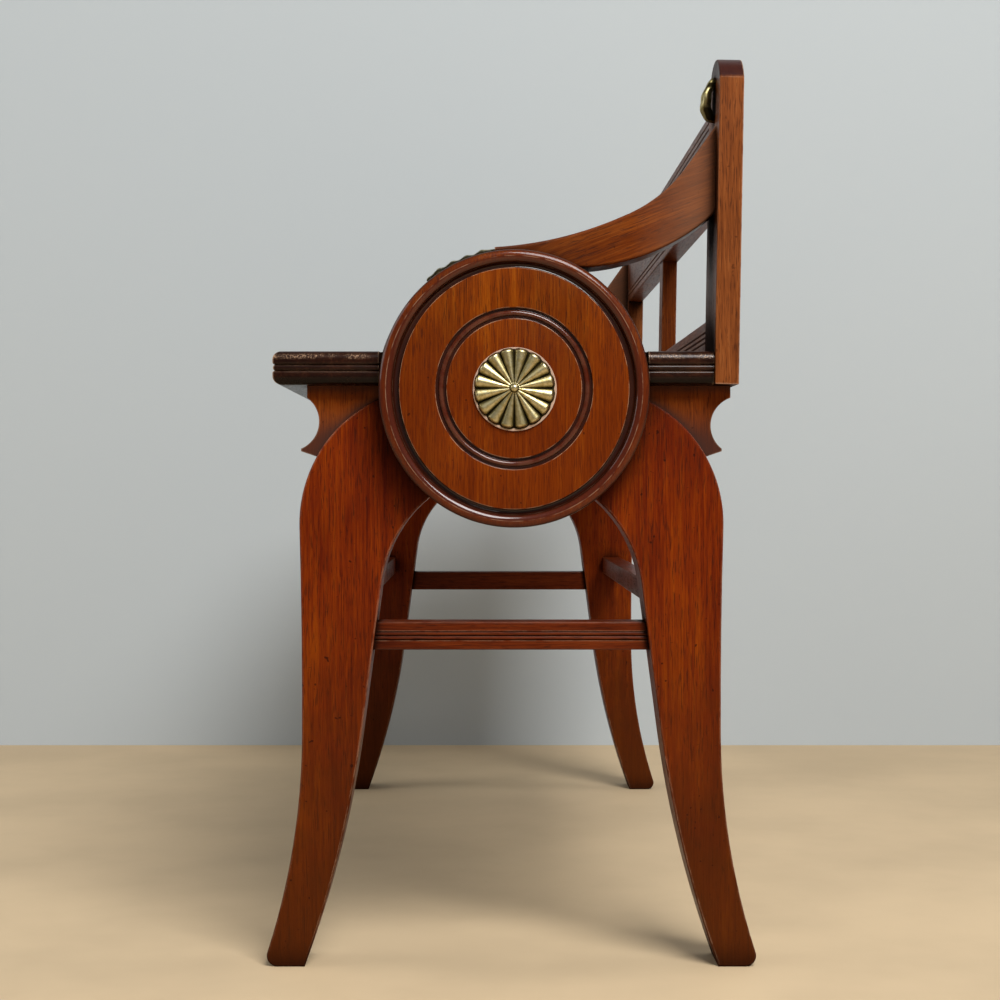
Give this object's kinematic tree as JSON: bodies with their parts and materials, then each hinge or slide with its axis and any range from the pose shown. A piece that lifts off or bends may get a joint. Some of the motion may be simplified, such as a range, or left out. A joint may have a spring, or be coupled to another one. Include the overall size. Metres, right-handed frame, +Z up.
{
  "type": "hall bench",
  "caption": "Wooden hall bench with sabre legs joined in round end arches, an open railed back, swept arms over large turned roundels, and brass mounts.",
  "frame": {"origin": "on the floor, under the middle of the four feet", "axes": "+X along the bench to the sitter's left hand end (the right end seen from the front), +Y from the front towards the back, +Z up"},
  "size_m": [0.934, 0.3658, 0.6799],
  "materials": {
    "mahogany": "red-brown French polish, worn to a satin",
    "brass": "aged cast brass, dark in the recesses",
    "steel": "dull wood screws",
    "beech": "bare secondary wood"
  },
  "bodies": {
    "root": {"seat_board": "mahogany", "top_rail": "mahogany", "bottom_rail": "mahogany", "centre_slat": "mahogany", "front_stretcher": "mahogany", "back_stretcher": "mahogany", "front_seat_rail": "mahogany", "back_seat_rail": "mahogany", "leg_front_left": "mahogany", "leg_back_left": "mahogany", "bracket_front_left": "mahogany", "bracket_back_left": "mahogany", "end_rail_left": "mahogany", "side_stretcher_left": "mahogany", "back_stile_left": "mahogany", "arm_left": "mahogany", "roundel_left": "mahogany", "leg_front_right": "mahogany", "leg_back_right": "mahogany", "bracket_front_right": "mahogany", "bracket_back_right": "mahogany", "end_rail_right": "mahogany", "side_stretcher_right": "mahogany", "back_stile_right": "mahogany", "arm_right": "mahogany", "roundel_right": "mahogany", "rosette_left": "brass", "rosette_right": "brass", "arm_mount_left": "brass", "arm_mount_right": "brass", "stile_boss_left": "brass", "stile_boss_right": "brass", "mount_pins": "brass", "seat_screws": "steel", "roundel_screws": "steel", "stile_screws": "steel", "dowels": "beech", "glue_blocks": "beech"}
  },
  "joints": []
}
